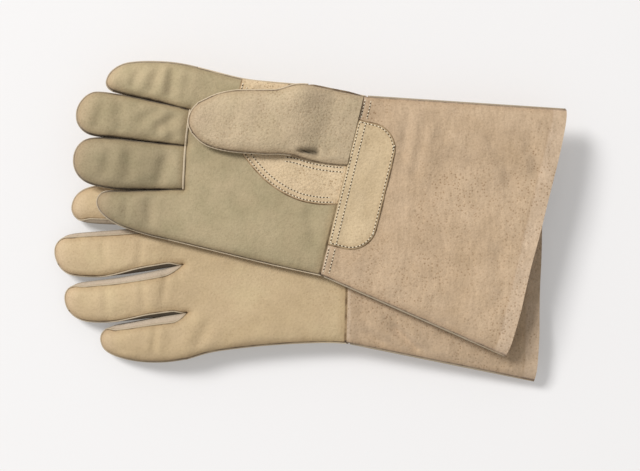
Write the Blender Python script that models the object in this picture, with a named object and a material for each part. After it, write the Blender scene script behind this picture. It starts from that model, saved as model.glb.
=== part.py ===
"""A pair of leather gauntlet welding gloves, stacked: the left one lies on its palm with the thumb folded
under, the right one lies across it with its palm up. Metres, +Z up. Each glove is built in its own frame:
x runs from the fingertips to the cuff, y to the thumb side and z out of the palm, from the cuff seam."""

import math

import bmesh
import bpy
from mathutils import Matrix

MM = 0.001
LEATHER = 1.2  # every leather panel
LINING = 0.8  # the cotton lining
GAP = 0.3  # between pieces sewn together
SEAT = 0.75  # under a patch, whose facets are wider than the panel's
BULGE = 2.6  # exponent of the flattened sections: 2 is an ellipse, more is squarer
HAND_HALF = 6.4  # half thickness of the hand
FINGER_HALF = 6.6  # half thickness of a finger
THUMB_HALF = 6.0  # half thickness of the thumb
THUMB_FLAT = 5.967  # from its mid plane to the flat facet along its front
THUMB_LIFT = 2.0  # clearance between the palm and the thumb folded over it
KNUCKLE = 128.0  # from the cuff seam to the line where the fingers bend
THUMB_ROOT = 29.0  # from the cuff seam to the line where the thumb bends
THUMB_BACK = 62.0  # where the leather under the thumb begins, past the thumb hole
CUFF_LENGTH = 150.0
CUFF_HALF_WIDTH = (69.0, 95.5)  # at the seam and at the mouth
CUFF_HALF = (6.4, 10.0)  # half thickness at the seam and at the mouth
FOURCHETTE = 2.6  # half width of the strips between the fingers
FLOOR_TO_LEFT = HAND_HALF + THUMB_LIFT + THUMB_HALF + THUMB_FLAT  # height of the left hand's mid plane
LEFT_TO_RIGHT = 2 * HAND_HALF + 0.5  # from there up to the right hand's

# Edges of the hand at stations from the cuff seam: (distance, little side, thumb side).
HAND = {
    "right": ((0, -69, 69), (24, -69.5, 68), (49, -70, 66), (94, -70, 59.5), (128, -70, 60)),
    "left": ((0, -69, 69), (24, -69, 67), (63, -72, 62), (101, -77, 54), (128, -85, 50)),
}
# Tip distance, mid line at the knuckle and at the tip, half width at the knuckle and of the finger.
FINGERS = {
    "right": {
        "index": (193, 44.4, 39.8, 15.5, 13.2),
        "middle": (209, 14.5, 8.5, 12.9, 15.5),
        "ring": (203, -14.7, -27.8, 15.2, 17.0),
        "little": (178, -50.9, -54.8, 18.6, 14.6),
    },
    "left": {
        "index": (213, 33.6, 31.5, 15.8, 14.8),
        "middle": (226, 2.3, -8.5, 14.2, 16.0),
        "ring": (217, -30.7, -44.5, 17.4, 16.0),
        "little": (190, -67.0, -71.5, 17.6, 15.6),
    },
}
# Thumb stations: distance, mid line, height of the mid plane over the palm's, half width, half thickness.
THUMB = (
    (29, 43, 11.6, 22.5, 3.0),
    (36, 42.4, 12.6, 23.6, 4.4),
    (46, 40.5, 13.8, 24.4, 5.6),
    (62, 36.5, 14.4, 24.6, 6.0),
    (82, 30.2, 14.4, 23.6, 6.0),
    (102, 26, 14.4, 20.8, 6.0),
    (113, 24.3, 14.4, 17.0, 5.6),
    (119, 23.6, 14.4, 12.8, 4.6),
    (123, 23, 14.4, 6.4, 2.6),
)
# Outline of the thumb strap on the palm: distance, little side, thumb side.
STRAP = (
    (1, -15, 15), (14, -18, 15), (27, -19, 15), (48, -15, 14), (60, -9.5, 13),
    (64, -7, 55), (73, -1, 54), (81.5, 6.4, 53), (88, 20, 52), (92.5, 36, 51),
)
PATCH = (1.0, 31.0, -46.0, 51.0, 20.0)  # cuff patch: from and to the seam, both sides, corner radius
THUMB_HOLE = (46.0, 40.0, 11.0, 14.0)  # middle and half sizes of the hole in the palm
SIDES = {"right": 1, "left": -1}  # the left glove is the mirror image, palm down
FRAMES = {
    "right": Matrix.Translation((26.455 * MM, 26.695 * MM, (FLOOR_TO_LEFT + LEFT_TO_RIGHT) * MM))
    @ Matrix.Rotation(math.radians(-13.7), 4, "Z"),
    "left": Matrix.Translation((31.255 * MM, -22.805 * MM, FLOOR_TO_LEFT * MM))
    @ Matrix.Rotation(math.radians(-1.3), 4, "Z"),
}
DROOP = {  # how far each end hangs towards the palm at its tip or mouth
    "right": {"finger": -5.0, "cuff": -2.5},
    "left": {"finger": FLOOR_TO_LEFT - FINGER_HALF - 0.1, "cuff": FLOOR_TO_LEFT - CUFF_HALF[1] - 0.1},
}
COLOURS = {
    "palm leather": ((0.40, 0.35, 0.21, 1), 0.85),
    "back leather": ((0.62, 0.46, 0.26, 1), 0.7),
    "cuff suede": ((0.55, 0.39, 0.26, 1), 0.95),
    "reinforcing leather": ((0.63, 0.48, 0.27, 1), 0.75),
    "fourchette leather": ((0.55, 0.50, 0.38, 1), 0.85),
    "cotton lining": ((0.74, 0.69, 0.58, 1), 0.98),
}


def clear_scene():
    for obj in list(bpy.data.objects):
        bpy.data.objects.remove(obj, do_unlink=True)


def collection(name, hidden=False):
    made = bpy.data.collections.new(name)
    made.hide_render = hidden
    bpy.context.scene.collection.children.link(made)
    return made


def material(piece, kind):
    """Every piece has a material of its own."""
    made = bpy.data.materials.new(f"{piece} {kind}")
    made.use_nodes = True
    shader = made.node_tree.nodes["Principled BSDF"]
    shader.inputs["Base Color"].default_value = COLOURS[kind][0]
    shader.inputs["Roughness"].default_value = COLOURS[kind][1]
    return made


def place(glove, name, bm, pivot, kind):
    """Turns a bmesh in glove millimetres into an object whose origin is at the pivot."""
    for vert in bm.verts:
        vert.co = (vert.co[i] - pivot[i] for i in range(3))
        vert.co.z *= SIDES[glove]
        vert.co *= MM
    bm.normal_update()
    bmesh.ops.recalc_face_normals(bm, faces=bm.faces)
    mesh = bpy.data.meshes.new(f"{glove}_{name}")
    bm.to_mesh(mesh)
    bm.free()
    obj = bpy.data.objects.new(f"{glove}_{name}", mesh)
    x, y, z = pivot
    obj.matrix_world = FRAMES[glove] @ Matrix.Translation((x * MM, y * MM, z * MM * SIDES[glove]))
    obj.data.materials.append(material(obj.name, kind))
    GLOVES.objects.link(obj)
    return obj


def lofted(outer, inner, ring=False, closed_tip=False):
    """A sheet with thickness through matching rows of points on its two faces."""
    bm = bmesh.new()
    rows = [[[bm.verts.new(p) for p in row] for row in face] for face in (outer, inner)]
    count = len(outer[0])
    steps = [(j, (j + 1) % count) for j in range(count if ring else count - 1)]
    for face in rows:
        for near, far in zip(face, face[1:]):
            for j, k in steps:
                bm.faces.new((near[j], near[k], far[k], far[j]))
    for end in (0, -1):
        if end == -1 and closed_tip:
            bm.faces.new(rows[0][-1])
            bm.faces.new(rows[1][-1])
            continue
        for j, k in steps:
            bm.faces.new((rows[0][end][j], rows[0][end][k], rows[1][end][k], rows[1][end][j]))
    if not ring:
        for side in (0, -1):
            for i in range(len(outer) - 1):
                a, b = rows[0][i][side], rows[0][i + 1][side]
                c, d = rows[1][i + 1][side], rows[1][i][side]
                bm.faces.new((a, b, c, d))
    return bm


def section_point(station, inset, angle):
    """A point of the flattened section of a sleeve, the inset inside its outer face."""
    u, v, z, half_width, half = station
    across, up = math.cos(angle), math.sin(angle)
    wide, high = max(half_width - inset, 0.6), max(half - inset, 0.2)
    across = math.copysign(abs(across) ** (2 / BULGE), across)
    up = math.copysign(abs(up) ** (2 / BULGE), up)
    return (-u, v + wide * across, z + high * up)


def edge_angle(station, inset, height):
    """The angle at which that section reaches a height above its mid plane."""
    high = max(station[4] - inset, 0.2)
    ratio = min(abs(height) / high, 0.97)
    return math.copysign(math.asin(ratio ** (BULGE / 2)), height)


def panel(stations, edges, count, palm=True, inset=0.0, thick=LEATHER):
    """The palm or back leather of a sleeve. Edges give its rim's height on the thumb and little side."""
    faces = []
    for depth in (inset, inset + thick):
        rows = []
        for station, (thumb_side, little_side) in zip(stations, edges):
            first = edge_angle(station, depth, thumb_side)
            last = math.pi - edge_angle(station, depth, little_side)
            angles = [first + (last - first) * j / count for j in range(count + 1)]
            rows.append([section_point(station, depth, a if palm else -a) for a in angles])
        faces.append(rows)
    return lofted(*faces)


def strip(stations, heights, little_side, count=2):
    """A narrow strip of leather between the two panels of a finger."""
    faces = []
    for depth in (0.0, LEATHER):
        rows = []
        for station, height in zip(stations, heights):
            limit = edge_angle(station, depth, height)
            angles = [-limit + 2 * limit * j / count for j in range(count + 1)]
            turn = math.pi if little_side else 0.0
            rows.append([section_point(station, depth, turn + a) for a in angles])
        faces.append(rows)
    return lofted(*faces)


def sleeve(stations, count, closed_tip=False):
    """The lining: a whole tube, GAP inside the leather."""
    faces = []
    for depth in (LEATHER + GAP, LEATHER + GAP + LINING):
        rows = []
        for station in stations:
            angles = [2 * math.pi * j / count for j in range(count)]
            rows.append([section_point(station, depth, a) for a in angles])
        faces.append(rows)
    if closed_tip:
        faces[1][-1] = [(x + LINING, y, z) for x, y, z in faces[1][-1]]
    return lofted(*faces, ring=True, closed_tip=closed_tip)


def laid_on(stations, outline, count):
    """A patch just above the palm side of a sleeve, with its own outline."""
    faces = []
    for height in (SEAT + 1.0, SEAT):
        rows = []
        for u, low, high in outline:
            station = between(stations, u)
            row = []
            for j in range(count + 1):
                v = low + (high - low) * j / count
                share = min(abs(v - station[1]) / station[3], 0.999)
                z = station[2] + station[4] * (1 - share**BULGE) ** (1 / BULGE)
                row.append((-u, v, z + height))
            rows.append(row)
        faces.append(rows)
    return lofted(*faces)


def between(stations, u):
    """The section at a distance, in a straight line between the two nearest stations."""
    u = abs(u)
    for near, far in zip(stations, stations[1:]):
        if u <= abs(far[0]):
            share = (u - abs(near[0])) / (abs(far[0]) - abs(near[0]))
            return tuple(a + (b - a) * share for a, b in zip(near, far))
    return stations[-1]


def hand_stations(glove):
    rows = HAND[glove]
    return [(u, (low + high) / 2, 0, (high - low) / 2, HAND_HALF) for u, low, high in rows]


def cuff_stations(glove):
    rows = []
    for share in (0.004, 0.25, 0.5, 0.75, 1.0):
        half_width = CUFF_HALF_WIDTH[0] + (CUFF_HALF_WIDTH[1] - CUFF_HALF_WIDTH[0]) * share
        half = CUFF_HALF[0] + (CUFF_HALF[1] - CUFF_HALF[0]) * share
        rows.append((-CUFF_LENGTH * share, 0, DROOP[glove]["cuff"] * share, half_width, half))
    return rows


def finger_stations(glove, finger):
    """From the knuckle to the tip, where the section shrinks along a quarter circle."""
    tip, base_v, tip_v, base_half, half_width = FINGERS[glove][finger]
    base = KNUCKLE + GAP
    start = tip - half_width
    half_widths = []
    for share in (0.0, 0.33, 0.66, 1.0):
        grown = base_half + (half_width - base_half) * min(1, 1.5 * share)
        half_widths.append((base + (start - base) * share, grown, 1.0))
    for degrees in (30, 55, 72, 83):
        turn = math.radians(degrees)
        half_widths.append((start + half_width * math.sin(turn), half_width * math.cos(turn), math.cos(turn)))
    stations = []
    for u, w, full in half_widths:
        share = (u - base) / (tip - base)
        droop = DROOP[glove]["finger"] * share ** (1.5 if glove == "right" else 1.0)
        half = HAND_HALF + (FINGER_HALF - HAND_HALF) * min(1, 3 * share)
        v = base_v + (tip_v - base_v) * share
        stations.append((u, v, droop, w, max(half * full**0.7, 1.9)))
    return stations


def make_finger(glove, finger, neighbours):
    """Front and back leather, the strips that face its neighbours, and the lining."""
    stations = finger_stations(glove, finger)
    pivot = (-KNUCKLE, FINGERS[glove][finger][1], HAND_HALF)
    edge = [max(FOURCHETTE * max(0.0, 1 - i / 6) ** 0.4, GAP / 2) for i in range(len(stations))]
    plain = [GAP / 2] * len(stations)
    sides = list(zip(*(edge if side in neighbours else plain for side in ("thumb", "little"))))
    place(glove, f"{finger}_front", panel(stations, sides, 8), pivot, "palm leather")
    place(glove, f"{finger}_back", panel(stations, sides, 8, palm=False), pivot, "back leather")
    for side, label in neighbours.items():
        mesh = strip(stations[:5], [e - GAP for e in edge[:5]], side == "little")
        place(glove, label, mesh, pivot, "fourchette leather")
    inner = [s for s in stations if s[4] > 4.4]
    place(glove, f"{finger}_lining", sleeve(inner, 12, closed_tip=True), pivot, "cotton lining")


def make_hand(glove):
    """Palm and back leather, the lining, the thumb strap, and the hole where the thumb joins."""
    stations = hand_stations(glove)
    rim = [(GAP / 2, GAP / 2)] * len(stations)
    origin = (0, 0, 0)
    palm = place(glove, "palm_panel", panel(stations, rim, 20), origin, "palm leather")
    place(glove, "back_panel", panel(stations, rim, 20, palm=False), origin, "back leather")
    lining = place(glove, "hand_lining", sleeve(stations, 32), origin, "cotton lining")
    place(glove, "thumb_strap", laid_on(stations, STRAP, 14), origin, "reinforcing leather")
    cutter = thumb_hole(glove)
    for obj in (palm, lining):
        cut = obj.modifiers.new("thumb hole", "BOOLEAN")
        cut.operation = "DIFFERENCE"
        cut.solver = "EXACT"
        cut.object = cutter


def thumb_hole(glove):
    u, v, half_long, half_wide = THUMB_HOLE
    bm = bmesh.new()
    bmesh.ops.create_cone(bm, cap_ends=True, segments=20, radius1=1, radius2=1, depth=12)
    bmesh.ops.scale(bm, vec=(half_long, half_wide, 1), verts=bm.verts)
    bmesh.ops.translate(bm, vec=(-u, v, 7.0), verts=bm.verts)
    for vert in bm.verts:
        vert.co.z *= SIDES[glove]
        vert.co *= MM
    bm.normal_update()
    bmesh.ops.recalc_face_normals(bm, faces=bm.faces)
    mesh = bpy.data.meshes.new(f"{glove} thumb hole")
    bm.to_mesh(mesh)
    bm.free()
    cutter = bpy.data.objects.new(f"{glove} thumb hole", mesh)
    cutter.matrix_world = FRAMES[glove]
    cutter.hide_render = True
    cutter.display_type = "WIRE"
    CUTTERS.objects.link(cutter)
    return cutter


def make_thumb(glove):
    """The thumb folded over the palm. Its front leather wraps down to the palm round the thumb hole."""
    pivot = (-THUMB_ROOT, THUMB[0][1], HAND_HALF + THUMB_LIFT - 0.2)
    wrap = [(-1.6, -1.6), (-2.6, -2.6), (-3.4, -3.4)]
    rim = wrap + [(GAP / 2, GAP / 2)] * (len(THUMB) - 3)
    place(glove, "thumb_front", panel(THUMB, rim, 13), pivot, "palm leather")
    under = [(THUMB_BACK + 0.4, *THUMB[3][1:])] + list(THUMB[4:])
    rim = [(GAP / 2, GAP / 2)] * len(under)
    place(glove, "thumb_back", panel(under, rim, 13, palm=False), pivot, "palm leather")
    inner = [s for s in under if s[4] > 4.0]
    place(glove, "thumb_lining", sleeve(inner, 16, closed_tip=True), pivot, "cotton lining")


def make_cuff(glove):
    """The gauntlet: two suede panels, a lining and the D-shaped patch on its palm side."""
    stations = cuff_stations(glove)
    pivot = (0, 0, HAND_HALF)
    rim = [(GAP / 2, GAP / 2)] * len(stations)
    place(glove, "cuff_front", panel(stations, rim, 20), pivot, "cuff suede")
    place(glove, "cuff_back", panel(stations, rim, 20, palm=False), pivot, "cuff suede")
    place(glove, "cuff_lining", sleeve(stations, 32), pivot, "cotton lining")
    near, far, low, high, radius = PATCH
    outline = [(-near, low, high), (-(far - radius), low, high)]
    for degrees in (25, 45, 62, 78, 90):
        turn = math.radians(degrees)
        inset = radius * (1 - math.cos(turn))
        outline.append((-(far - radius) - radius * math.sin(turn), low + inset, high - inset))
    place(glove, "cuff_patch", laid_on(stations, outline, 10), pivot, "reinforcing leather")


clear_scene()
GLOVES = collection("welding gloves")
CUTTERS = collection("cutters", hidden=True)
NEIGHBOURS = {
    "index": {"little": "index_fourchette"},
    "middle": {"thumb": "middle_fourchette_index_side", "little": "middle_fourchette_ring_side"},
    "ring": {"thumb": "ring_fourchette_middle_side", "little": "ring_fourchette_little_side"},
    "little": {"thumb": "little_fourchette"},
}
for which in ("left", "right"):
    make_hand(which)
    make_thumb(which)
    make_cuff(which)
    for digit, strips in NEIGHBOURS.items():
        make_finger(which, digit, strips)
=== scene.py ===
import math

import bmesh
import bpy
import numpy as np
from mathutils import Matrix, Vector, noise

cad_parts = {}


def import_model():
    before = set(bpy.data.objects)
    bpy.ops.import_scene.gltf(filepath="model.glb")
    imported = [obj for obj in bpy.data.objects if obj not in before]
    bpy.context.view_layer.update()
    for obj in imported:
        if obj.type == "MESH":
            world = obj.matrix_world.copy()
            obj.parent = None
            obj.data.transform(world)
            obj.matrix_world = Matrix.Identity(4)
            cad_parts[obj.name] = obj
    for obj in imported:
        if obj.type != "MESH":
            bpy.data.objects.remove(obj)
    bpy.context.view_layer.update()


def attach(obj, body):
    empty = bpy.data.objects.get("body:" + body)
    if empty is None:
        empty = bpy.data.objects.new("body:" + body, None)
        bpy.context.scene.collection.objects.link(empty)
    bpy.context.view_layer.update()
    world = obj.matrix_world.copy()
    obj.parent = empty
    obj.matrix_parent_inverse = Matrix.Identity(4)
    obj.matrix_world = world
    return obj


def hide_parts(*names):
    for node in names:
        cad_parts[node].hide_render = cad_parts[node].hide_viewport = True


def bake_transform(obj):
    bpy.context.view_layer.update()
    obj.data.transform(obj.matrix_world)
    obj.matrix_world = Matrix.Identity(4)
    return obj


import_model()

# HANDS. The palm and the back of each glove are one hide panel each, cut flat and drawn into shape by the side
# seams: a matt, faintly napped grey-green split for the palm, a smooth golden grain leather for the back.
# The right glove lies palm up on the left one, which lies on its palm.

# Edges of the cut pieces in millimetres: u from the cuff seam to the fingertips, v towards the thumb side.
PATTERN = {
    "right": {
        "little side": [(0, -69), (25, -69.6), (48, -70), (94, -70), (119, -70)],
        "thumb side": [(0, 69), (24, 68), (49, 66), (72, 62.6), (94, 60), (128, 60.2)],
        "index": [(126, 28), (150, 28.6), (178, 28.4), (188, 29), (192.6, 33), (192, 40), (188, 46),
                  (182, 50.5), (174, 53.6), (164, 56.3), (150, 59), (138, 60.1), (128, 60.2)],
        "middle": [(123, 1), (150, -2), (175, -4.6), (191, -7), (200, -6), (206.5, -1), (209.2, 7), (208, 14.5),
                   (203.5, 21.5), (196, 25), (175, 27), (150, 27.7), (126, 28)],
        "ring": [(117, -31), (145, -37.6), (166, -42.2), (184, -43.3), (194, -41), (200.5, -35), (203.3, -27),
                 (202.4, -19), (198, -12.6), (190, -9), (175, -6.2), (150, -2.9), (123, 1)],
        "little": [(119, -70), (134, -70.2), (150, -69.3), (161, -67.6), (170, -64.4), (176, -60), (178.6, -54.5),
                   (177, -49), (172, -45.8), (160, -42.8), (140, -37.6), (117, -31)],
    },
    "left": {
        "little side": [(0, -69), (23, -69), (63, -72), (101, -77.4), (122, -83.6)],
        "thumb side": [(0, 69), (24, 67), (63, 62), (101, 54), (128, 50)],
        "index": [(128, 17.5), (150, 17.2), (180, 17), (202, 18), (210.5, 21.5), (214, 28), (212, 36),
                  (206, 42), (196, 45.5), (180, 47.5), (150, 49.5), (128, 50)],
        "middle": [(127, -12.6), (160, -18.8), (188, -22.8), (210, -22.6), (220, -18.5), (225.4, -10), (225.8, -1.4),
                   (221, 5), (214, 8.3), (200, 10.2), (176, 12.5), (150, 15.8), (128, 17.5)],
        "ring": [(123, -49), (150, -53.2), (176, -56.8), (197, -57.6), (208, -55), (215, -49), (217.7, -41),
                 (216, -34.5), (209, -29.5), (199, -27.4), (176, -24), (150, -18.6), (127, -12.6)],
        "little": [(122, -83.6), (138, -86.3), (154, -87), (168, -85.6), (180, -82.5), (187, -78), (189.6, -71),
                   (187, -65), (179, -60.6), (165, -57.4), (145, -53), (123, -49)],
    },
}
FINGERS = ("little", "ring", "middle", "index")
FLOOR_TO_LEFT, FLOOR_TO_RIGHT = 20.367, 33.667  # heights of the two hands' mid planes
LAID = {  # where each glove's cuff seam lies, its turn in degrees, and which way its palm faces
    "right": ((26.455, 26.695, FLOOR_TO_RIGHT), -13.7, 1),
    "left": ((31.255, -22.805, FLOOR_TO_LEFT), -1.3, -1),
}
HAND_HALF = 6.4  # half thickness of the hand


def smooth(x):
    x = np.clip(x, 0.0, 1.0)
    return x * x * (3 - 2 * x)


def spline(points, count):
    """Evenly spaced points on a smooth curve through the pattern's marks."""
    p = np.array(points, float)
    p = np.vstack([2 * p[0] - p[1], p, 2 * p[-1] - p[-2]])
    fine = []
    for i in range(1, len(p) - 2):
        a, b, c, d = p[i - 1 : i + 3]
        for t in np.linspace(0, 1, 24, endpoint=False):
            fine.append(0.5 * (2 * b + (c - a) * t + (2 * a - 5 * b + 4 * c - d) * t**2
                               + (3 * b - a - 3 * c + d) * t**3))
    fine.append(p[-2])
    fine = np.array(fine)
    along = np.concatenate([[0], np.cumsum(np.linalg.norm(np.diff(fine, axis=0), axis=1))])
    at = np.linspace(0, along[-1], count)
    return np.stack([np.interp(at, along, fine[:, k]) for k in range(fine.shape[1])], axis=1)


def patch(near, far, low, high):
    """Fills four edges with a grid: near and far run from low to high."""
    s = np.linspace(0, 1, len(low))[:, None, None]
    t = np.linalg.norm(np.diff(near, axis=0, prepend=near[:1]), axis=1).cumsum()
    t = (t / t[-1])[None, :, None]
    flat = (1 - s) * near[None] + s * far[None] + (1 - t) * low[:, None] + t * high[:, None]
    corners = (1 - s) * ((1 - t) * near[0] + t * near[-1]) + s * ((1 - t) * far[0] + t * far[-1])
    return flat - corners


CORNERS = {glove: [marks[name][0] for name in FINGERS] + [marks["index"][-1]] for glove, marks in PATTERN.items()}
OUTLINE = {}
for glove, marks in PATTERN.items():
    edges = [spline(marks[name], 60) for name in ("little side", "thumb side")]
    edges += [spline(marks[name], 150) for name in FINGERS]
    OUTLINE[glove] = np.concatenate([np.concatenate([e[:-1], e[1:]], axis=1) for e in edges])


def seam_distance(glove, uv):
    """How far each point of the pattern is from the nearest sewn edge."""
    flat = uv.reshape(-1, 2)
    a, b = OUTLINE[glove][:, :2], OUTLINE[glove][:, 2:]
    run = b - a
    found = np.full(len(flat), 1e9)
    for start in range(0, len(flat), 2000):
        p = flat[start : start + 2000, None]
        t = np.clip(((p - a) * run).sum(-1) / (run**2).sum(-1), 0, 1)
        found[start : start + 2000] = np.linalg.norm(p - a - t[..., None] * run, axis=-1).min(axis=1)
    return found.reshape(uv.shape[:-1])


def off_line(uv, a, b):
    """How far pattern points are from a straight line, and their nearest place along it from 0 to 1."""
    a, b = np.array(a, float), np.array(b, float)
    t = np.clip(((uv - a) @ (b - a)) / ((b - a) @ (b - a)), 0, 1)
    return np.linalg.norm(uv - a - t[..., None] * (b - a), axis=-1), t


def wander(uv, size, seed):
    """Smooth unevenness from -1 to 1, with lumps of about that size."""
    flat = uv.reshape(-1, 2)
    found = [noise.noise(Vector((u / size, v / size, seed * 7.3))) for u, v in flat]
    return np.array(found).reshape(uv.shape[:-1])


# Creases pressed into the leather: (from, to, depth, width), on the side that faces up.
CREASES = {
    "right": [
        ((60, -40), (84, -20), 0.25, 5.0), ((142, 31), (146, 58), 0.55, 3.6), ((158, 31), (155, 55), 0.4, 3.2),
        ((172, 30), (170, 52), 0.3, 3.0), ((132, 23), (150, 5), 0.7, 4.0), ((145, 25), (162, 8), 0.5, 3.8),
        ((130, 4), (140, 14), 0.5, 2.8), ((172, -4), (178, 24), 0.4, 4.0), ((192, -4), (190, 20), 0.3, 3.0),
        ((136, -34), (134, -6), 0.5, 4.0), ((158, -38), (162, -8), 0.45, 4.2),
        ((178, -40), (176, -10), 0.35, 3.5), ((134, -66), (140, -40), 0.4, 3.6),
        ((154, -64), (156, -44), 0.3, 3.0), ((10, -50), (24, -20), 0.35, 4.0),
        ((-92, 66), (-128, 26), 0.35, 5.0), ((-120, 74), (-142, 40), 0.35, 4.5),
        ((-40, -24), (-112, -62), 0.2, 7.0), ((-60, 66), (-76, 10), 0.2, 7.0),
        ((-33, 68), (-38, 22), 0.22, 3.2), ((-46, 70), (-50, 12), 0.22, 3.4),
        ((-120, -10), (-138, -60), 0.25, 5.0),
    ],
    "left": [
        ((138, -12), (142, -46), 0.35, 2.6), ((160, -18), (158, 8), 0.3, 2.6),
        ((155, -50), (157, -24), 0.35, 2.6), ((148, -82), (146, -56), 0.35, 2.6),
        ((118, -80), (104, -52), 0.4, 4.0), ((184, -52), (186, -30), 0.25, 2.2),
        ((186, -18), (188, 6), 0.25, 2.2), ((-30, -52), (-60, -78), 0.7, 3.0),
        ((-12, -58), (-30, -72), 0.4, 3.0),
    ],
}


def relief(glove, uv, up_side):
    """How far the leather stands above or below a smooth stuffed shape."""
    lumps = 0.9 * wander(uv, 34, 1 if up_side else 2) + 0.55 * wander(uv, 14, 3) + 0.12 * wander(uv, 5, 4)
    if up_side:
        for a, b, depth, width in CREASES[glove]:
            near, t = off_line(uv, a, b)
            fade = smooth(4 * t) * smooth(4 * (1 - t)) * 0.9 + 0.1
            valley, shoulder = np.exp(-((near / width) ** 2)), np.exp(-(((near - 2 * width) / width) ** 2))
            lumps -= 2.3 * fade * depth * (valley - 0.45 * shoulder)
    return lumps


def hand_height(glove, uv, front, edge=0.4):
    """Height of the palm or back leather of hand and fingers over the mid plane, and the distance from a seam."""
    u = uv[..., 0]
    reach = 30 - 19.5 * smooth(u / 60) + 3.5 * smooth((u - 126) / 20)
    full = HAND_HALF + 0.9 * smooth((u - 118) / 25)
    d = seam_distance(glove, uv)
    rise = np.sqrt(np.clip(1 - (1 - np.clip(d / reach, 0, 1)) ** 2, 0, 1))
    up_side = front == (glove == "right")
    full = full + (1.9 * smooth((u - 132) / 18) if up_side else 0)
    pucker = 0.45 * wander(uv, 5.5, 8) * np.exp(-((d - 3) / 3.5) ** 2)
    strength = 1 + 0.45 * smooth((u - 128) / 15) if up_side else 0.4
    bump = (relief(glove, uv, up_side) * smooth(d / 7) + pucker) * strength
    height = edge + (full - edge) * rise + bump
    if front:
        height = height - 1.1 * np.exp(-((base_seam(glove, uv) / 2.2) ** 2)) * smooth(d / 2)
    return height, d


def world(glove, uv, z):
    """From a glove's own millimetres to metres in the row frame."""
    (x0, y0, z0), degrees, palm = LAID[glove]
    turn = math.radians(degrees)
    x, y = -uv[..., 0], uv[..., 1]
    if glove == "left":
        x = np.where(x > 0, 0.965 * x, x)  # its cuff is pushed back a little in soft folds
    return np.stack([x0 + x * math.cos(turn) - y * math.sin(turn), y0 + x * math.sin(turn) + y * math.cos(turn),
                     z0 + palm * z], axis=-1) / 1000


def surface(name, points, outward, seam=9.0, shade=1.0, pale=0.0, closed=False):
    """A mesh from a grid of points, its faces turned outward. It keeps how far each point is from a seam, a shade
    that darkens or lightens it (partly painted shade: in the gaps between fingers, in the pit at the thumb's root and
    over the left cuff), and how pale it is (partly a painted highlight: along the cuff's lap edge)."""
    rows, cols = points.shape[:2]
    index = np.arange(rows * cols).reshape(rows, cols)
    wrap = np.concatenate([index, index[:, :1]], axis=1) if closed else index
    faces = np.stack([wrap[:-1, :-1], wrap[:-1, 1:], wrap[1:, 1:], wrap[1:, :-1]], axis=-1).reshape(-1, 4)
    p = points.reshape(-1, 3)
    normals = np.cross(p[faces[:, 2]] - p[faces[:, 0]], p[faces[:, 3]] - p[faces[:, 1]])
    away = outward(p[faces].mean(axis=1)) if callable(outward) else np.array(outward)
    if (normals * away).sum() < 0:
        faces = faces[:, ::-1]
    mesh = bpy.data.meshes.new(name)
    mesh.from_pydata(p.tolist(), [], faces.tolist())
    mesh.polygons.foreach_set("use_smooth", [True] * len(faces))
    for key, value in (("seam_mm", seam), ("shade", shade), ("pale", pale)):
        kept = mesh.attributes.new(key, "FLOAT", "POINT")
        kept.data.foreach_set("value", np.broadcast_to(value, (rows, cols)).reshape(-1).astype(np.float32))
    obj = bpy.data.objects.new(name, mesh)
    bpy.context.scene.collection.objects.link(obj)
    return obj


def thicken(obj, mm):
    """Gives a sheet the leather's thickness, inwards."""
    wall = obj.modifiers.new("Leather", "SOLIDIFY")
    wall.thickness, wall.offset, wall.use_rim, wall.use_even_offset = mm / 1000, -1.0, True, False
    bpy.ops.object.select_all(action="DESELECT")
    bpy.context.view_layer.objects.active = obj
    obj.select_set(True)
    bpy.ops.object.modifier_apply(modifier=wall.name)
    bpy.ops.object.shade_smooth_by_angle(angle=math.radians(60))


def up(glove, front):
    """The way out of a palm or back panel."""
    return (0, 0, LAID[glove][2] * (1 if front else -1))


def finish(name, rough):
    """A new material of that roughness, with its node tree and its shader."""
    made = bpy.data.materials.new(name)
    made.use_nodes = True
    shader = made.node_tree.nodes["Principled BSDF"]
    shader.inputs["Roughness"].default_value = rough
    return made, made.node_tree, shader


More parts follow.
